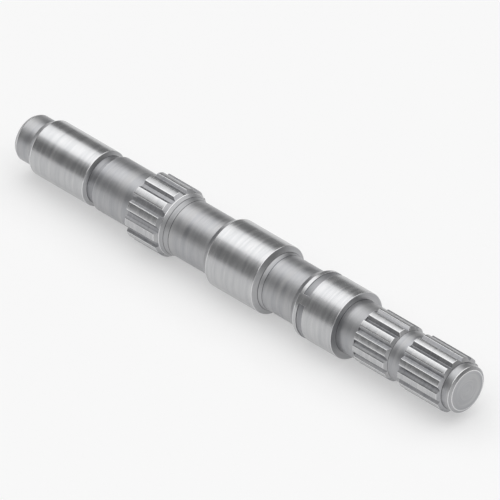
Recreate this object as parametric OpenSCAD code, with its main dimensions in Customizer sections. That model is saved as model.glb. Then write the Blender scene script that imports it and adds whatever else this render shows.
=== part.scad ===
// One-piece pinion shaft: a stepped steel shaft turned from one bar, with a toothed
// pinion collar near the middle and two lengths of straight-sided splines at the output end.
// The shaft lies along X with its output end towards +X. The origin is on the axis, at the
// middle of the ground length of journal B. Angles are measured about +X, from +Y towards +Z.

/* [Far end stub] */
// Diameter of the plain stub at the far end
stub_a_d = 25; // [20:0.1:26]
// Length of the far stub, up to the face of journal A
stub_a_l = 10.9; // [4:0.1:30]
// Length of the 30 degree lead-in on the far stub
stub_a_lead = 1.85; // [0.5:0.05:3]

/* [Journal A] */
// Diameter of journal A
journal_a_d = 30; // [29.2:0.1:36]
// Length of journal A, its lead-in included
journal_a_l = 40.3; // [15:0.1:80]
// Width of the relief groove behind journal A
groove_w = 7; // [4:0.1:12]
// Diameter at the bottom of the relief groove
groove_d = 25.7; // [22:0.1:29]

/* [Body between journal A and the pinion] */
// Diameter of this body
body_a_d = 29.7; // [26:0.1:33]
// Length of this body
body_a_l = 26.5; // [5:0.1:60]

/* [Pinion] */
// Number of teeth on the pinion
pinion_teeth = 13; // [9:1:16]
// Diameter over the pinion's teeth
pinion_tip_d = 36.74; // [35.4:0.02:40]
// Diameter at the bottom of the pinion's tooth spaces
pinion_root_d = 33.9; // [33.9:0.1:35]
// Length of the pinion, up to the end of its tooth chamfer
pinion_l = 22; // [10:0.1:50]
// Length of the chamfer at the pinion's output side
pinion_chamfer_l = 2; // [0.5:0.1:4]
// Diameter where that chamfer ends, just below the floors of the tooth spaces
pinion_ring_d = 33.8; // [31.4:0.05:33.8]
// Width of a pinion tooth along its tip circle
pinion_land_w = 4.1; // [2.5:0.05:4.6]
// Width of a pinion tooth space along its root circle
pinion_floor_w = 1.95; // [0.8:0.05:3]
// Diameter at the foot of the cone behind the pinion
pinion_cone_d = 31.4; // [30.6:0.1:33]
// Length of the cone behind the pinion
pinion_cone_l = 2.15; // [0.5:0.05:4]
// Length of the shallow taper from that cone down to the body
pinion_taper_l = 3.05; // [0.5:0.05:6]

/* [Body between the pinion and journal B] */
// Diameter of this body
body_b_d = 30.4; // [26:0.1:31.2]
// Length of this body, without the taper
body_b_l = 25.9; // [5:0.1:60]

/* [Journal B] */
// Diameter of journal B
journal_b_d = 36.8; // [35.4:0.1:42]
// Length of journal B, its lead-in included
journal_b_l = 35.3; // [15:0.1:80]
// Diameter at the foot of the cone behind journal B
journal_b_cone_d = 31.2; // [30.4:0.1:34]
// Length of the shallow taper from that cone down to the body
journal_b_taper_l = 2.5; // [0.5:0.05:6]

/* [Body between journal B and the seat] */
// Diameter of this body
body_c_d = 30.1; // [26:0.1:31]
// Length of this body, without the taper
body_c_l = 20.8; // [5:0.1:60]

/* [Slotted seat] */
// Diameter of the slotted seat
seat_d = 36; // [34.4:0.1:36.6]
// Length of the slotted seat, its lead-in included
seat_l = 29.6; // [14:0.1:60]
// Distance from the start of the seat to its arc slots
slot_start = 5.4; // [4:0.1:9]
// Width of the arc slots, along the shaft
slot_w = 3.95; // [1:0.05:5]
// Depth of the arc slots
slot_depth = 0.4; // [0.1:0.05:2]
// Number of arc slots around the seat
slot_count = 2; // [1:1:4]
// Angle of the bridge that is left between two arc slots
slot_bridge = 16.4; // [8:0.1:40]
// Angle of the middle of the first bridge
slot_bridge_at = 141.3; // [0:0.1:360]

/* [Body between the seat and the splines] */
// Diameter of this body
body_d_d = 28.4; // [27.4:0.1:29.4]
// Length of this body
body_d_l = 11.9; // [4:0.1:40]

/* [Splines] */
// Number of spline teeth
spline_teeth = 13; // [9:1:16]
// Diameter over the splines
spline_tip_d = 29.6; // [29.6:0.1:33]
// Diameter at the bottom of the spline spaces
spline_root_d = 26.7; // [26.6:0.02:27.6]
// Width of a spline tooth along its tip circle
spline_land_w = 3.25; // [2:0.05:4.2]
// Width of a spline space along its root circle
spline_floor_w = 0.4; // [0.2:0.05:1.2]
// Length of the inner splines, up to the end of their chamfer
spline_inner_l = 22.5; // [8:0.1:50]
// Length of the chamfer on the inner splines
spline_inner_chamfer_l = 1.4; // [0.5:0.05:3]
// Diameter of the plain neck between the two spline lengths
neck_d = 26.5; // [22:0.1:26.6]
// Length of the neck
neck_l = 8.4; // [2:0.1:30]
// Length of the outer splines, up to the end of their chamfer
spline_outer_l = 27.8; // [8:0.1:60]
// Length of the chamfer on the outer splines
spline_outer_chamfer_l = 1.2; // [0.5:0.05:3]

/* [Output end stub] */
// Diameter of the plain stub at the output end
stub_b_d = 25; // [20:0.1:26]
// Length of the output stub
stub_b_l = 5.6; // [3:0.1:30]
// Diameter of the flat end face at the output end
end_face_d = 21.4; // [12:0.1:24]

/* [Shared forms] */
// Length of the lead-in cone on both journals and the seat
lead_l = 3.35; // [1:0.05:4]
// Angle between a lead-in cone and the axis
lead_angle = 30; // [15:1:40]
// Angle between a shoulder cone and the shaft's cross-section
shoulder_angle = 30; // [10:1:45]
// How far a tooth flank bows out between its tip and its root
flank_crown = 0.05; // [0:0.01:0.1]
// Angle of the middle of the first tooth, on all three toothed lengths
tooth_at = 180; // [0:0.1:360]

/* [Hidden] */
$fn = 144;
flank_steps = 4;
flank_reach = 0.2;
over = 1;

// Stations along the axis, counted from the far end face
journal_a_x = stub_a_l;
groove_x = journal_a_x + journal_a_l;
body_a_x = groove_x + groove_w;
pinion_x = body_a_x + body_a_l;
pinion_cone_x = pinion_x + pinion_l;
pinion_taper_x = pinion_cone_x + pinion_cone_l;
body_b_x = pinion_taper_x + pinion_taper_l;
journal_b_x = body_b_x + body_b_l;
journal_b_cone_x = journal_b_x + journal_b_l;
journal_b_taper_x = journal_b_cone_x + shoulder_run(journal_b_d, journal_b_cone_d);
body_c_x = journal_b_taper_x + journal_b_taper_l;
seat_x = body_c_x + body_c_l;
body_d_x = seat_x + seat_l;
spline_inner_x = body_d_x + body_d_l;
neck_x = spline_inner_x + spline_inner_l;
spline_outer_x = neck_x + neck_l;
stub_b_x = spline_outer_x + spline_outer_l;
end_x = stub_b_x + stub_b_l;

// The middle of journal B's ground length, which is the part's origin
origin_x = (journal_b_x + lead_l + journal_b_cone_x) / 2;

// Length along the axis of a shoulder cone between two diameters
function shoulder_run(large_d, small_d) = (large_d - small_d) / 2 * tan(shoulder_angle);

// Radius at the small end of a lead-in cone of the given length
function lead_r(d, run) = d / 2 - run * tan(lead_angle);

// Angle in degrees that an arc of the given length covers on a circle
function arc_angle(arc_l, r) = arc_l / r * 180 / PI;

// A point at a radius and an angle
function polar(r, angle) = [r * cos(angle), r * sin(angle)];

// A flank's points from just outside its tip edge to its root edge, bowed into the open space
function flank(tip, root) = [
    for (i = [0 : flank_steps])
        let (
            t = i / flank_steps * (1 + flank_reach) - flank_reach,
            run = root - tip,
            side = [-run.y, run.x] / norm(run),
            bow = 4 * flank_crown * t * (1 - t)
        )
        tip + run * t + side * bow
];

// The shaft's half section: each point is a station along the axis and a radius
function half_section() = [
    [0, 0],
    [0, lead_r(stub_a_d, stub_a_lead)],
    [stub_a_lead, stub_a_d / 2],
    [journal_a_x, stub_a_d / 2],
    [journal_a_x, lead_r(journal_a_d, lead_l)],
    [journal_a_x + lead_l, journal_a_d / 2],
    [groove_x, journal_a_d / 2],
    [groove_x + shoulder_run(journal_a_d, groove_d), groove_d / 2],
    [body_a_x, groove_d / 2],
    [body_a_x, body_a_d / 2],
    [pinion_x, body_a_d / 2],
    [pinion_x, pinion_tip_d / 2],
    [pinion_cone_x - pinion_chamfer_l, pinion_tip_d / 2],
    [pinion_cone_x, pinion_ring_d / 2],
    [pinion_taper_x, pinion_cone_d / 2],
    [body_b_x, body_b_d / 2],
    [journal_b_x, body_b_d / 2],
    [journal_b_x, lead_r(journal_b_d, lead_l)],
    [journal_b_x + lead_l, journal_b_d / 2],
    [journal_b_cone_x, journal_b_d / 2],
    [journal_b_taper_x, journal_b_cone_d / 2],
    [body_c_x, body_c_d / 2],
    [seat_x, body_c_d / 2],
    [seat_x, lead_r(seat_d, lead_l)],
    [seat_x + lead_l, seat_d / 2],
    [body_d_x, seat_d / 2],
    [body_d_x, body_d_d / 2],
    [spline_inner_x, body_d_d / 2],
    [spline_inner_x, spline_tip_d / 2],
    [neck_x - spline_inner_chamfer_l, spline_tip_d / 2],
    [neck_x, neck_d / 2],
    [spline_outer_x, neck_d / 2],
    [spline_outer_x, spline_tip_d / 2],
    [stub_b_x - spline_outer_chamfer_l, spline_tip_d / 2],
    [stub_b_x, stub_b_d / 2],
    [end_x - shoulder_run(stub_b_d, end_face_d), stub_b_d / 2],
    [end_x, end_face_d / 2],
    [end_x, 0]
];

// Stands a form that was drawn along Z on the shaft's own axis
module along_shaft(x = 0) {
    translate([x - origin_x, 0, 0])
        rotate([90, 0, 90])
            children();
}

// The turned blank, before any tooth is cut
module blank() {
    along_shaft()
        rotate_extrude()
            polygon([for (p = half_section()) [p.y, p.x]]);
}

// The outline of one tooth space, with a flat floor and open outwards
module space_outline(tip_r, root_r, gap_angle, floor_angle) {
    upper = flank(polar(tip_r, gap_angle / 2), polar(root_r, floor_angle / 2));
    mouth = [[tip_r + over, -upper[0].y], [tip_r + over, upper[0].y]];
    lower = [for (i = [flank_steps : -1 : 0]) [upper[i].x, -upper[i].y]];
    polygon(concat(mouth, upper, lower));
}

// All the tooth spaces of one toothed length, started before it by the given run-in
module tooth_spaces(x, length, teeth, tip_d, root_d, land_w, floor_w, run_in) {
    tip_r = tip_d / 2;
    root_r = root_d / 2;
    pitch = 360 / teeth;
    gap_angle = pitch - arc_angle(land_w, tip_r);
    along_shaft(x - run_in)
        linear_extrude(run_in + length + over)
            for (i = [0 : teeth - 1])
                rotate(tooth_at + (i + 0.5) * pitch)
                    space_outline(tip_r, root_r, gap_angle, arc_angle(floor_w, root_r));
}

// The shallow arc slots in the seat, which leave a bridge between each two
module arc_slots() {
    slot_pitch = 360 / slot_count;
    along_shaft(seat_x + slot_start)
        for (i = [0 : slot_count - 1])
            rotate(slot_bridge_at + slot_bridge / 2 + i * slot_pitch)
                rotate_extrude(angle = slot_pitch - slot_bridge)
                    translate([seat_d / 2 - slot_depth, 0])
                        square([slot_depth + over, slot_w]);
}

module pinion_shaft() {
    color([0.80, 0.81, 0.82])
        difference() {
            blank();
            tooth_spaces(pinion_x, pinion_l, pinion_teeth, pinion_tip_d, pinion_root_d,
                pinion_land_w, pinion_floor_w, over);
            tooth_spaces(spline_inner_x, spline_inner_l, spline_teeth, spline_tip_d,
                spline_root_d, spline_land_w, spline_floor_w, 0);
            tooth_spaces(spline_outer_x, spline_outer_l, spline_teeth, spline_tip_d,
                spline_root_d, spline_land_w, spline_floor_w, over);
            arc_slots();
        }
}

pinion_shaft();
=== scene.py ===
import math

import bmesh
import bpy
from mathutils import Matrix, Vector


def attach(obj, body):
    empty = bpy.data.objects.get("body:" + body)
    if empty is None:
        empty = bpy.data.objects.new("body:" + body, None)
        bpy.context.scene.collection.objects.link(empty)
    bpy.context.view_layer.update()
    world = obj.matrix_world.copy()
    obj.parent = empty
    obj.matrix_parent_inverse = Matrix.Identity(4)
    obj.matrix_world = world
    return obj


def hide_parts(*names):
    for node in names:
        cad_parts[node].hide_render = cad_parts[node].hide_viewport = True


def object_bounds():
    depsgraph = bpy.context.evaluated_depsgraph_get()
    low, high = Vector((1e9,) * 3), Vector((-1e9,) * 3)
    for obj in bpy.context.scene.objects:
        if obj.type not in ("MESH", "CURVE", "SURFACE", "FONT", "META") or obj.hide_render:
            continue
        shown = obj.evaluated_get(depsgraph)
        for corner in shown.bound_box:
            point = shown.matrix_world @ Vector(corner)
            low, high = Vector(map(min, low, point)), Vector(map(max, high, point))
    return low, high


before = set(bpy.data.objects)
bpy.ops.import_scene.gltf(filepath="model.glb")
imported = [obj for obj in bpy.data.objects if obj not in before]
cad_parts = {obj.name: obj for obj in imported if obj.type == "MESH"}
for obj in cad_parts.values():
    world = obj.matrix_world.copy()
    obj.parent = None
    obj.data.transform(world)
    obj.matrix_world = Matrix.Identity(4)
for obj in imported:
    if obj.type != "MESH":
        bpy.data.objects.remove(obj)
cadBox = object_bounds()
scene = bpy.context.scene
mm = 0.001  # the sizes below are in millimetres, the scene is in metres

# The camera of the drawing: a long lens far away, so that the view is nearly parallel
cameraSet = {
    "azimuth": 45.332,  # degrees round the shaft, 0 looks along +Y
    "elevation": 35.163,
    "lens": 1400.0,
    "sensor": 36.0,
    "distance": 9522.8,
    "across": -2.369,
    "up": 8.117,
    "near": 100.0,
    "far": 60000.0,
}


def addCamera():
    azimuth, elevation = (math.radians(cameraSet[k]) for k in ("azimuth", "elevation"))
    right = Vector((math.cos(azimuth), math.sin(azimuth), 0))
    back = Vector((
        math.sin(azimuth) * math.cos(elevation),
        -math.cos(azimuth) * math.cos(elevation),
        math.sin(elevation),
    ))
    up = back.cross(right)
    place = right * cameraSet["across"] + up * cameraSet["up"] + back * cameraSet["distance"]
    bpy.ops.object.camera_add(location=place * mm)
    camera = bpy.context.object
    camera.name = "photoCamera"
    camera.rotation_mode = "QUATERNION"
    camera.rotation_quaternion = (-back).to_track_quat("-Z", "Y")
    camera.data.lens = cameraSet["lens"]
    camera.data.sensor_width = cameraSet["sensor"]
    camera.data.clip_start = cameraSet["near"] * mm
    camera.data.clip_end = cameraSet["far"] * mm
    scene.camera = camera


addCamera()
scene.view_settings.view_transform = "Standard"
print("camera is in place")

# The studio: a pale floor, a pale horizon and four soft boxes
studio = {
    "floorSize": 40000.0,
    "floorColour": (0.96, 0.96, 0.96),
    "floorWhite": 0.4,  # how far the floor is seen as plain white, in the metal too
    # sine of the elevation, grey
    "sky": [(0.0, 0.9), (0.03, 0.85), (0.12, 0.3), (0.55, 0.22), (0.8, 1.0), (1.0, 1.5)],
    "lamps": [
        # name, place, size, brightness seen in the metal
        ("boxLeft", (-1500.0, 150.0, 1900.0), (2100.0, 900.0), 0.8),
        ("boxRight", (1600.0, 0.0, 1700.0), (2100.0, 800.0), 0.8),
        ("boxFront", (600.0, -1800.0, 1900.0), (2600.0, 600.0), 1.0),
        ("boxBack", (600.0, 1800.0, 1900.0), (2600.0, 600.0), 1.0),
    ],
}


def addWorld():
    world = bpy.data.worlds.new("studioSky")
    scene.world = world
    world.use_nodes = True
    nodes, links = world.node_tree.nodes, world.node_tree.links
    coord = nodes.new("ShaderNodeTexCoord")
    split = nodes.new("ShaderNodeSeparateXYZ")
    ramp = nodes.new("ShaderNodeValToRGB")
    links.new(coord.outputs["Generated"], split.inputs["Vector"])
    links.new(split.outputs["Z"], ramp.inputs["Fac"])
    links.new(ramp.outputs["Color"], nodes["Background"].inputs["Color"])
    stops = ramp.color_ramp.elements
    while len(stops) < len(studio["sky"]):
        stops.new(0.5)  # its place is set below
    for stop, (height, grey) in zip(stops, studio["sky"]):
        stop.position = height
        stop.color = (grey, grey, grey, 1)


def addLamp(name, place, size, brightness):
    bpy.ops.object.light_add(type="AREA", location=Vector(place) * mm)
    lamp = bpy.context.object
    lamp.name = name
    lamp.rotation_mode = "QUATERNION"
    lamp.rotation_quaternion = (-Vector(place)).to_track_quat("-Z", "Y")
    lamp.data.shape = "RECTANGLE"
    lamp.data.size, lamp.data.size_y = (s * mm for s in size)
    lamp.data.energy = brightness * math.pi * lamp.data.size * lamp.data.size_y
    lamp.visible_camera = False


def addFloor(height):
    bpy.ops.mesh.primitive_plane_add(size=studio["floorSize"] * mm, location=(0, 0, height))
    floor = bpy.context.object
    floor.name = "floor"
    material = bpy.data.materials.new("paleFloor")
    material.use_nodes = True
    nodes, links = material.node_tree.nodes, material.node_tree.links
    shader = nodes["Principled BSDF"]
    shader.inputs["Base Color"].default_value = (*studio["floorColour"], 1)
    shader.inputs["Roughness"].default_value = 1
    shader.inputs["Specular IOR Level"].default_value = 0
    light = nodes.new("ShaderNodeLightPath")
    seen = nodes.new("ShaderNodeMath")
    seen.operation = "MAXIMUM"
    links.new(light.outputs["Is Camera Ray"], seen.inputs[0])
    links.new(light.outputs["Is Glossy Ray"], seen.inputs[1])
    share = nodes.new("ShaderNodeMath")
    share.operation = "MULTIPLY"
    share.inputs[1].default_value = studio["floorWhite"]
    links.new(seen.outputs["Value"], share.inputs[0])
    white = nodes.new("ShaderNodeEmission")
    mix = nodes.new("ShaderNodeMixShader")
    links.new(share.outputs["Value"], mix.inputs["Fac"])
    links.new(shader.outputs["BSDF"], mix.inputs[1])
    links.new(white.outputs["Emission"], mix.inputs[2])
    links.new(mix.outputs["Shader"], nodes["Material Output"].inputs["Surface"])
    floor.data.materials.append(material)


addWorld()
for lampRow in studio["lamps"]:
    addLamp(*lampRow)
addFloor(cadBox[0].z)
print("studio is in place")

# Finishes of the steel. Colours are the metal's own, except the painted highlight on the broken edges
# and the painted shade in the hollow corners; lengths are in millimetres
finishes = {
    "steelGround": {  # journals, seat and tips of the teeth
        "dark": (0.45, 0.455, 0.465),
        "light": (0.55, 0.55, 0.555),
        "smooth": 0.17,  # the least and the greatest roughness
        "rough": 0.27,
        "lineScale": 5.0,  # fine marks per millimetre along the shaft
        "lineDepth": 0.0012,
        "bandScale": 0.55,  # broad bands per millimetre along the shaft
        "radial": 1.0,  # 1 for turning marks, 0 for hobbing marks
        "anisotropy": 0.55,
    },
    "steelTurned": {  # bodies, stubs, cones and end faces
        "dark": (0.36, 0.365, 0.38),
        "light": (0.47, 0.47, 0.475),
        "smooth": 0.28,
        "rough": 0.42,
        "lineScale": 2.6,
        "lineDepth": 0.004,
        "bandScale": 0.4,
        "radial": 1.0,
        "anisotropy": 0.6,
    },
    "steelHobbed": {  # flanks and floors of the tooth spaces, arc slots, relief groove
        "dark": (0.27, 0.275, 0.29),
        "light": (0.37, 0.37, 0.38),
        "smooth": 0.3,
        "rough": 0.45,
        "lineScale": 1.8,
        "lineDepth": 0.003,
        "bandScale": 0.7,
        "radial": 0.0,
        "anisotropy": 0.2,
    },
    "steelEdgeWearAndHighlight": {  # broken edges, rubbed bright by wear and partly a painted highlight
        "dark": (0.66, 0.665, 0.675),
        "light": (0.78, 0.78, 0.78),
        "smooth": 0.2,
        "rough": 0.3,
        "lineScale": 3.0,
        "lineDepth": 0.0005,
        "bandScale": 0.8,
        "radial": 1.0,
        "anisotropy": 0.0,
    },
    "steelCornerShade": {  # hollow corners and the bands beside them, painted shade
        "dark": (0.13, 0.132, 0.14),
        "light": (0.20, 0.20, 0.205),
        "smooth": 0.4,
        "rough": 0.55,
        "lineScale": 3.0,
        "lineDepth": 0.001,
        "bandScale": 0.8,
        "radial": 1.0,
        "anisotropy": 0.0,
    },
}
# What the machining marks of all finishes have in common
markSet = {
    "lineAcross": 0.16,  # changes per millimetre across the shaft, so that a mark fades out
    "bandAcross": 0.035,
    "smudgeScale": 38.0,  # per metre
    "lineDetail": 3.0,
    "bandDetail": 4.0,
    "smudgeDetail": 3.0,
    "lineTone": 0.35,  # share of the lines in the tone, the bands have the rest
    "toneFrom": 0.36,
    "toneTo": 0.64,
    "bandWear": 0.5,  # share of the bands in the wear, the smudges have the rest
    "wearFrom": 0.35,
    "wearTo": 0.65,
    "bandHeight": 2.0,  # of a band against a line
}


def makeSteel(name):
    finish = finishes[name]
    material = bpy.data.materials.new(name)
    material.use_nodes = True
    nodes, links = material.node_tree.nodes, material.node_tree.links

    def node(kind, **settings):
        made = nodes.new("ShaderNode" + kind)
        for key, value in settings.items():
            setattr(made, key, value)
        return made

    def math2(operation, first, second):
        made = node("Math", operation=operation)
        for socket, value in zip(made.inputs, (first, second)):
            if isinstance(value, (int, float)):
                socket.default_value = value
            else:
                links.new(value, socket)
        return made.outputs["Value"]

    def noise(vector, scale, detail):
        made = node("TexNoise")
        links.new(vector, made.inputs["Vector"])
        made.inputs["Scale"].default_value = scale
        made.inputs["Detail"].default_value = detail
        return made.outputs["Fac"]

    def blend(first, second, share):
        return math2("ADD", math2("MULTIPLY", first, share), math2("MULTIPLY", second, 1 - share))

    def spread(value, start, end, low, high):
        made = node("MapRange")
        links.new(value, made.inputs["Value"])
        for key, number in (("From Min", start), ("From Max", end), ("To Min", low), ("To Max", high)):
            made.inputs[key].default_value = number
        return made.outputs["Result"]

    # A turning mark is a line of equal x plus radius: a ring on a cylinder or a cone, and a
    # circle on an end face. A hobbing mark is a line of equal x
    coord = node("TexCoord")
    split = node("SeparateXYZ")
    links.new(coord.outputs["Object"], split.inputs["Vector"])
    flat = node("CombineXYZ")
    for axis in ("Y", "Z"):
        links.new(split.outputs[axis], flat.inputs[axis])
    radius = node("VectorMath", operation="LENGTH")
    links.new(flat.outputs["Vector"], radius.inputs[0])
    reach = math2("MULTIPLY", radius.outputs["Value"], finish["radial"])
    along = math2("ADD", split.outputs["X"], reach)

    def marks(scale, across, detail):
        place = node("CombineXYZ")
        links.new(math2("MULTIPLY", along, scale / mm), place.inputs["X"])
        for axis in ("Y", "Z"):
            links.new(math2("MULTIPLY", split.outputs[axis], across / mm), place.inputs[axis])
        return noise(place.outputs["Vector"], 1.0, detail)

    lines = marks(finish["lineScale"], markSet["lineAcross"], markSet["lineDetail"])
    bands = marks(finish["bandScale"], markSet["bandAcross"], markSet["bandDetail"])
    smudges = noise(coord.outputs["Object"], markSet["smudgeScale"], markSet["smudgeDetail"])

    tone = blend(lines, bands, markSet["lineTone"])
    mix = node("Mix", data_type="RGBA")
    links.new(spread(tone, markSet["toneFrom"], markSet["toneTo"], 0, 1), mix.inputs["Factor"])
    mix.inputs["A"].default_value = (*finish["dark"], 1)
    mix.inputs["B"].default_value = (*finish["light"], 1)

    wear = blend(bands, smudges, markSet["bandWear"])
    wearRange = markSet["wearFrom"], markSet["wearTo"]
    roughness = spread(wear, *wearRange, finish["smooth"], finish["rough"])
    bump = node("Bump")
    bump.inputs["Distance"].default_value = finish["lineDepth"] * mm
    height = math2("ADD", lines, math2("MULTIPLY", bands, markSet["bandHeight"]))
    links.new(height, bump.inputs["Height"])
    tangent = node("Tangent", direction_type="RADIAL", axis="X")

    shader = nodes["Principled BSDF"]
    shader.inputs["Metallic"].default_value = 1
    shader.inputs["Anisotropic"].default_value = finish["anisotropy"]
    links.new(mix.outputs["Result"], shader.inputs["Base Color"])
    links.new(roughness, shader.inputs["Roughness"])
    links.new(bump.outputs["Normal"], shader.inputs["Normal"])
    links.new(tangent.outputs["Tangent"], shader.inputs["Tangent"])
    return material


# The shaft, from the far end to the output end. Diameters end in D, lengths in L
shaftSet = {
    "originStation": 157.125,  # from the far end face to the middle of journal B
    "coneSlope": math.tan(math.radians(30)),  # of the lead-in and shoulder cones
    "leadL": 3.35,
    "stubAD": 25.0,
    "stubAL": 10.9,
    "stubALead": 1.85,
    "journalAD": 30.0,
    "journalAL": 40.3,
    "grooveD": 25.7,
    "grooveL": 7.0,
    "bodyAD": 29.7,
    "bodyAL": 26.5,
    "pinionConeD": 31.4,
    "pinionConeL": 2.15,
    "pinionTaperL": 3.05,
    "bodyBD": 30.4,
    "bodyBL": 25.9,
    "journalBD": 36.8,
    "journalBL": 35.3,
    "journalBConeD": 31.2,
    "journalBTaperL": 2.5,
    "bodyCD": 30.1,
    "bodyCL": 20.8,
    "seatD": 36.0,
    "seatL": 29.6,
    "bodyDD": 28.4,
    "bodyDL": 11.9,
    "neckD": 26.5,
    "neckL": 8.4,
    "stubBD": 25.0,
    "stubBL": 5.6,
    "endFaceD": 21.4,
    "cornerBreak": 0.22,
    "fillet": 0.2,
    "bandL": 0.3,  # of the bands beside the chamfers of the teeth: painted highlight on the pinion's cone, painted shade on the neck
    "breakSteps": 3,
    "endFaceShares": (0.75, 0.4, 0.12),  # radii of the rings on an end face
    "mergeWithin": 0.0005,
    "smoothAngle": 35.0,
}
toothSet = {
    "teeth": 13,
    "firstAt": 180.0,  # degrees from +Y towards +Z
    "landSpots": 3,  # steps on half a land
    "edgeBreak": 0.18,
    "rootCurve": 0.12,
    "flankBow": 0.05,  # at the middle of a flank
    "halvings": 40,  # steps that find the spot of a given radius on a flank
    "tipBreak": 0.14,  # where a land meets the chamfer
}
pinionSet = {
    "tipD": 36.74,
    "rootD": 33.9,
    "landW": 4.1,
    "floorW": 1.95,
    "levels": (18.05, 17.7, 17.35),  # radii of the middle spots on a flank
    "length": 22.0,
    "chamfer": 2.0,
    "endD": 33.8,
    "endBreak": 0.12,
}
splineSet = {
    "tipD": 29.6,
    "rootD": 26.7,
    "landW": 3.25,
    "floorW": 0.4,
    "levels": (14.45, 14.2, 13.75),  # the second is the radius of the body before the splines
    "innerL": 22.5,
    "innerChamfer": 1.4,
    "outerL": 27.8,
    "outerChamfer": 1.2,
    "endBreak": 0.05,  # half the step from the neck to the floors of the spaces
}
slotSet = {
    "start": 5.4,  # from the start of the seat
    "width": 3.95,
    "depth": 0.4,
    "bridgeAt": 141.3,  # degrees from +Y towards +Z, the other bridge is opposite
    "bridge": 16.6,  # degrees, twelve steps of the mesh, where the solid has 16.4
    "edgeBreak": 0.1,
    "edgeSteps": 2,
    "edgeDepths": (0.011, 0.11),  # a face of the broken edge reaches between these depths
    "onSeat": 0.999,  # from this share of the radius on, a corner lies on the seat's surface
    "endWithin": 0.3,  # degrees, of a corner at the end of a slot
}


def toothOutline(sizes):
    # The spots of half a tooth and half a space: angle from the tooth's middle, and radius
    tipR, rootR = sizes["tipD"] / 2, sizes["rootD"] / 2
    half = 180 / toothSet["teeth"]

    def polar(radius, arc):
        return Vector((radius * math.cos(arc), radius * math.sin(arc)))

    landHalf = sizes["landW"] / 2 / tipR
    tip = polar(tipR, math.radians(half) - landHalf)
    root = polar(rootR, sizes["floorW"] / 2 / rootR)
    run = root - tip
    side = Vector((-run.y, run.x)).normalized()

    def flankPoint(t):
        return tip + run * t + side * (4 * toothSet["flankBow"] * t * (1 - t))

    def flankAt(radius):
        low, high = 0.0, 1.0
        for _ in range(toothSet["halvings"]):
            middle = (low + high) / 2
            low, high = (middle, high) if flankPoint(middle).length > radius else (low, middle)
        return flankPoint(low)

    landEnd = math.degrees(landHalf - toothSet["edgeBreak"] / tipR)
    steps = toothSet["landSpots"]
    spots = [(landEnd * i / steps, tipR) for i in range(steps + 1)]
    points = [flankPoint(toothSet["edgeBreak"] / run.length)]
    points += [flankAt(level) for level in sizes["levels"]]
    points += [flankPoint(1 - toothSet["rootCurve"] / run.length)]
    points += [Vector((root.x, root.y - toothSet["rootCurve"])), Vector((root.x, 0))]
    for point in points:
        spots.append((half - math.degrees(math.atan2(point.y, point.x)), point.length))
    # The other half mirrors the first: the spots run on round to the next tooth
    return spots + [(-angle, radius) for angle, radius in reversed(spots[1:-1])]


pinionSpots = toothOutline(pinionSet)
splineSpots = toothOutline(splineSet)
spotCount = len(pinionSpots)
pitch = 360 / toothSet["teeth"]
# The same number of spots, evenly spaced, for the plain lengths. Their radius isn't used
evenSpots = [
    (pitch * (k if k <= spotCount // 2 else k - spotCount) / spotCount, 0) for k in range(spotCount)
]
# How far the turning has come
now = {"station": 0.0, "radius": 0.0, "ring": 0, "angles": [angle for angle, _ in evenSpots]}
tiny = 1e-9  # a smaller move is left out
profile = {}  # the station and radius of each turned ring
corners, chamferTips = [], []  # rings whose edges are broken
crisp = []  # rings whose edges stay sharp
ground, hobbed, dull, highlightBands, shadeBands = [], [], [], [], []  # pairs of rings with a finish between; the last two lists hold bands of painted highlight and of painted shade


def layers(work):
    return work.verts.layers.int["ring"], work.verts.layers.int["spot"]


def pick(mode, test):
    # Selects the vertices, edges or faces whose corners (ring, spot, place) pass a test
    bpy.ops.mesh.select_mode(type=mode)
    bpy.ops.mesh.select_all(action="DESELECT")
    work = bmesh.from_edit_mesh(bpy.context.object.data)
    ring, spot = layers(work)
    for item in {"VERT": work.verts, "EDGE": work.edges, "FACE": work.faces}[mode]:
        points = [item] if mode == "VERT" else item.verts
        item.select_set(bool(test([(v[ring], v[spot], v.co) for v in points])))
    work.select_flush_mode()
    bmesh.update_edit_mesh(bpy.context.object.data)


def pickRing(ring, spot=None):
    pick("VERT", lambda c: c[0][0] == ring and spot in (None, c[0][1]))


def grow(factor):
    bpy.ops.transform.resize(value=(1, factor, factor), center_override=(0, 0, 0))


def extrudeRing(length):
    bpy.ops.mesh.extrude_region_move(TRANSFORM_OT_translate={"value": (length * mm, 0, 0)})
    now["ring"] += 1
    work = bmesh.from_edit_mesh(bpy.context.object.data)
    ring, _ = layers(work)
    for vertex in work.verts:
        if vertex.select:
            vertex[ring] = now["ring"]
    bmesh.update_edit_mesh(bpy.context.object.data)


def goOn(length, diameter, corner=True, finish=None):
    # A cylinder, a cone or, with no length, a flat wall
    extrudeRing(length)
    grow(diameter / 2 / now["radius"])
    now["station"] += length
    now["radius"] = diameter / 2
    profile[now["ring"]] = (now["station"], now["radius"])
    if corner:
        corners.append(now["ring"])
    if finish is not None:
        finish.append((now["ring"] - 1, now["ring"]))
    return now["ring"]


def leadIn(diameter):
    # The wall and the 30 degree cone at the start of a journal or the seat
    small = diameter - 2 * shaftSet["leadL"] * shaftSet["coneSlope"]
    goOn(0, small)
    goOn(shaftSet["leadL"], diameter)


def shoulder(diameter):
    # The steep cone at the end of a journal
    goOn((now["radius"] - diameter / 2) * shaftSet["coneSlope"], diameter)


def turnSpots(outline):
    # Slides the ring's vertices round to the angles of an outline
    for k, (angle, _) in enumerate(outline):
        shift = math.radians(angle - now["angles"][k])
        if abs(shift) > tiny:
            pickRing(now["ring"], k)
            bpy.ops.transform.rotate(value=-shift, orient_axis="X", center_override=(0, 0, 0))
    now["angles"] = [angle for angle, _ in outline]
    pickRing(now["ring"])


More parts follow.
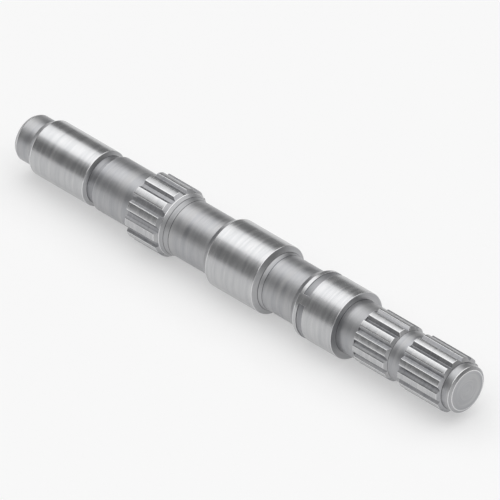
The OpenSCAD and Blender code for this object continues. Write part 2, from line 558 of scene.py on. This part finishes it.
def toothed(outline, length, chamfer, endD):
    # A wall out to the outline of the teeth, their straight run, and the cone that ends them
    extrudeRing(0)
    turnSpots(outline)
    for k, (_, radius) in enumerate(outline):
        pickRing(now["ring"], k)
        grow(radius / now["radius"])
    start = now["ring"]
    tipR = outline[0][1]
    profile[start] = (now["station"], tipR)
    pickRing(start)
    extrudeRing(length - chamfer)
    profile[now["ring"]] = (now["station"] + length - chamfer, tipR)
    for k, (_, radius) in enumerate(outline):
        run = chamfer * (tipR - radius) / (tipR - endD / 2)  # how far on it meets the cone
        if run > tiny:
            pickRing(now["ring"], k)
            bpy.ops.transform.translate(value=(run * mm, 0, 0))
    hobbed.append((start, now["ring"]))
    chamferTips.append(now["ring"])
    pickRing(now["ring"])
    extrudeRing(0)
    for k, (_, radius) in enumerate(outline):
        pickRing(now["ring"], k)
        grow(endD / 2 / radius)
    pickRing(now["ring"])
    now["station"] += length
    now["radius"] = endD / 2
    profile[now["ring"]] = (now["station"], now["radius"])
    end = (now["station"] - shaftSet["originStation"]) * mm
    bpy.ops.transform.resize(value=(0, 1, 1), center_override=(end, 0, 0))
    return start


def endFace(ring):
    # Closes an end with rings and a small middle face
    pickRing(ring)
    last = 1.0
    for share in shaftSet["endFaceShares"]:
        extrudeRing(0)
        grow(share / last)
        last = share
    bpy.ops.mesh.edge_face_add()


def startShaft(diameter):
    # The first ring, its finishes, and the number of each vertex within its tooth
    bpy.ops.object.select_all(action="DESELECT")
    bpy.ops.mesh.primitive_circle_add(
        vertices=spotCount * toothSet["teeth"],
        radius=diameter / 2 * mm,
        location=(-shaftSet["originStation"] * mm, 0, 0),
        rotation=(0, math.pi / 2, 0),
    )
    bpy.ops.object.transform_apply(location=True, rotation=True, scale=True)
    piece = bpy.context.object
    piece.name = "pinionShaft"
    for steelName in finishes:
        piece.data.materials.append(makeSteel(steelName))
    piece.data.attributes.new("spot", "INT", "POINT")
    piece.data.attributes.new("ring", "INT", "POINT")
    for vertex in piece.data.vertices:
        angle = math.degrees(math.atan2(vertex.co.z, vertex.co.y)) - toothSet["firstAt"]
        piece.data.attributes["spot"].data[vertex.index].value = (
            round(angle / pitch * spotCount) % spotCount
        )
    now["radius"] = diameter / 2
    corners.append(0)
    bpy.ops.object.mode_set(mode="EDIT")
    bpy.ops.mesh.select_mode(type="VERT")
    bpy.ops.mesh.select_all(action="SELECT")
    return piece


def turnShaft():
    s = shaftSet
    piece = startShaft(s["stubAD"] - 2 * s["stubALead"] * s["coneSlope"])
    goOn(s["stubALead"], s["stubAD"])
    goOn(s["stubAL"] - s["stubALead"], s["stubAD"])
    leadIn(s["journalAD"])
    start = now["ring"]
    ground.append((start, goOn(s["journalAL"] - s["leadL"], s["journalAD"])))
    groove = now["station"]
    shoulder(s["grooveD"])
    goOn(s["grooveL"] - (now["station"] - groove), s["grooveD"], finish=dull)
    goOn(0, s["bodyAD"])
    goOn(s["bodyAL"], s["bodyAD"])
    pinionStart = toothed(
        pinionSpots, pinionSet["length"], pinionSet["chamfer"], pinionSet["endD"]
    )
    crisp.append(now["ring"])
    # Painted highlight: a bright band on the cone just after the pinion's chamfer end
    narrowing = (pinionSet["endD"] - s["pinionConeD"]) * s["bandL"] / s["pinionConeL"]
    goOn(s["bandL"], pinionSet["endD"] - narrowing, corner=False, finish=highlightBands)
    goOn(s["pinionConeL"] - s["bandL"], s["pinionConeD"])
    goOn(s["pinionTaperL"], s["bodyBD"])
    goOn(s["bodyBL"], s["bodyBD"])
    print("turned as far as journal B")

    goOn(0, s["journalBD"] - 2 * s["leadL"] * s["coneSlope"])
    turnSpots(evenSpots)
    goOn(s["leadL"], s["journalBD"])
    start = now["ring"]
    ground.append((start, goOn(s["journalBL"] - s["leadL"], s["journalBD"])))
    shoulder(s["journalBConeD"])
    goOn(s["journalBTaperL"], s["bodyCD"])
    goOn(s["bodyCL"], s["bodyCD"])
    leadIn(s["seatD"])
    start = now["ring"]
    slotStart = goOn(slotSet["start"] - s["leadL"], s["seatD"], corner=False)
    slotEnd = goOn(slotSet["width"], s["seatD"], corner=False)
    ground.append((start, goOn(s["seatL"] - slotSet["start"] - slotSet["width"], s["seatD"])))
    goOn(0, s["bodyDD"])
    turnSpots(splineSpots)
    print("turned as far as the splines")

    goOn(s["bodyDL"], s["bodyDD"], corner=False)
    crisp.append(now["ring"])
    inner = toothed(splineSpots, splineSet["innerL"], splineSet["innerChamfer"], s["neckD"])
    crisp.extend((inner, now["ring"]))
    # Painted shade: dark bands on the neck beside the hollow corners at both of its ends
    goOn(s["bandL"], s["neckD"], corner=False, finish=shadeBands)
    goOn(s["neckL"] - 2 * s["bandL"], s["neckD"], corner=False)
    crisp.append(goOn(s["bandL"], s["neckD"], corner=False, finish=shadeBands))
    outer = toothed(splineSpots, splineSet["outerL"], splineSet["outerChamfer"], s["stubBD"])
    corners.append(now["ring"])
    rim = (s["stubBD"] - s["endFaceD"]) / 2 * s["coneSlope"]
    goOn(s["stubBL"] - rim, s["stubBD"])
    last = goOn(rim, s["endFaceD"])
    endFace(last)
    endFace(0)
    cutSlots({slotStart, slotEnd})
    bpy.ops.mesh.select_all(action="SELECT")
    bpy.ops.mesh.remove_doubles(threshold=s["mergeWithin"] * mm)
    bpy.ops.mesh.normals_make_consistent(inside=False)
    return piece, {pinionStart: pinionSet["endBreak"], outer: splineSet["endBreak"]}


def slotAngle(place):
    # Degrees from the middle of the nearer bridge
    angle = math.degrees(math.atan2(place.z, place.y)) - slotSet["bridgeAt"]
    return abs((angle + 90) % 180 - 90)


def cutSlots(rings):
    seatR, end = shaftSet["seatD"] / 2, slotSet["bridge"] / 2
    within = slotSet["endWithin"]

    def inSlot(c):
        middle = sum((place for _, _, place in c), Vector()) / len(c)
        return {r for r, _, _ in c} == rings and slotAngle(middle) > end

    def onRim(c):
        # The edges of the slots at the seat's surface, along the rings and at the slots' ends
        lowest = min(math.hypot(p.y, p.z) for _, _, p in c) / mm
        if any(r not in rings for r, _, _ in c) or lowest < seatR * slotSet["onSeat"]:
            return False
        near = [slotAngle(p) - end for _, _, p in c]
        return min(near) > -within and (c[0][0] == c[1][0] or max(near) < within)

    pick("FACE", inSlot)
    bpy.ops.mesh.extrude_region_move()
    grow(1 - slotSet["depth"] / seatR)
    pick("EDGE", onRim)
    bpy.ops.mesh.bevel(
        offset=slotSet["edgeBreak"] * mm,
        segments=slotSet["edgeSteps"],
        affect="EDGES",
        clamp_overlap=False,
    )
    print("arc slots are cut")


def paint(steelName, test):
    pick("FACE", test)
    bpy.context.object.active_material_index = list(finishes).index(steelName)
    bpy.ops.object.material_slot_assign()


def isInner(ring):
    # Whether the profile turns outwards at a ring, so that its corner is a hollow one
    if ring - 1 not in profile or ring + 1 not in profile:
        return False
    (x0, r0), (x1, r1), (x2, r2) = (profile[ring + k] for k in (-1, 0, 1))
    return (x1 - x0) * (r2 - r1) > (x2 - x1) * (r1 - r0)


def breakEdges(rings, width, steelName, test=lambda c: True):
    # Bevels the edges along some rings and gives the new faces a finish
    pick("EDGE", lambda c: c[0][0] == c[1][0] and c[0][0] in rings and test(c))
    bpy.ops.mesh.bevel(
        offset=width * mm,
        segments=shaftSet["breakSteps"],
        affect="EDGES",
        clamp_overlap=False,
        material=list(finishes).index(steelName),
    )


def finishShaft(piece, toothEnds):
    lands = toothSet["landSpots"]
    seat = ground[-1:]  # the last pair of rings that was ground
    edgeTop, edgeFoot = slotSet["edgeDepths"]

    def between(c, pairs):
        return any(all(a <= r <= b for r, _, _ in c) for a, b in pairs)

    def onFlank(c):
        return any(lands < spot < spotCount - lands for _, spot, _ in c)

    def onTip(c):
        return all(min(spot, spotCount - spot) <= lands + 1 for _, spot, _ in c)

    def depth(c):
        # Of the lowest corner under the seat
        return shaftSet["seatD"] / 2 - min(math.hypot(p.y, p.z) for _, _, p in c) / mm

    paint("steelTurned", lambda c: True)
    paint("steelGround", lambda c: between(c, ground + hobbed))
    paint("steelHobbed", lambda c: between(c, hobbed) and onFlank(c))
    # Painted highlight: the edge breaks along the tips of the teeth get the bright edge colour
    paint("steelEdgeWearAndHighlight", lambda c: between(c, hobbed) and onFlank(c) and onTip(c))
    paint("steelHobbed", lambda c: between(c, seat) and depth(c) > edgeFoot)
    # Painted highlight: the broken rim edges of the arc slots get the bright edge colour
    paint("steelEdgeWearAndHighlight", lambda c: between(c, seat) and edgeTop < depth(c) < edgeFoot)
    paint("steelHobbed", lambda c: between(c, dull))
    # Painted highlight on the band on the pinion's cone, painted shade on the bands on the neck
    paint("steelEdgeWearAndHighlight", lambda c: between(c, highlightBands))
    paint("steelCornerShade", lambda c: between(c, shadeBands))
    pick("EDGE", lambda c: c[0][0] == c[1][0] and c[0][0] in crisp + chamferTips)
    bpy.ops.mesh.mark_sharp()
    hollow = [ring for ring in corners if isInner(ring)]
    proud = [ring for ring in corners if ring not in hollow]
    # Painted shade on the hollow fillets; painted highlight, with rubbing, on the proud broken edges,
    # the chamfer ends of the tips and the tooth ends
    breakEdges(hollow, shaftSet["fillet"], "steelCornerShade")
    breakEdges(proud, shaftSet["cornerBreak"], "steelEdgeWearAndHighlight")
    breakEdges(chamferTips, toothSet["tipBreak"], "steelEdgeWearAndHighlight", onTip)
    for ring, width in toothEnds.items():
        breakEdges([ring], width, "steelEdgeWearAndHighlight")
    bpy.ops.object.mode_set(mode="OBJECT")
    bpy.ops.object.shade_smooth_by_angle(
        angle=math.radians(shaftSet["smoothAngle"]), keep_sharp_edges=True
    )
    normals = piece.modifiers.new("evenNormals", "WEIGHTED_NORMAL")
    normals.keep_sharp = True
    bpy.ops.object.modifier_apply(modifier=normals.name)
    for name in ("spot", "ring"):
        piece.data.attributes.remove(piece.data.attributes[name])


shaft, toothEnds = turnShaft()
finishShaft(shaft, toothEnds)
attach(shaft, "root")
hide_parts("pinion_shaft")
print("shaft is finished, faces:", len(shaft.data.polygons))
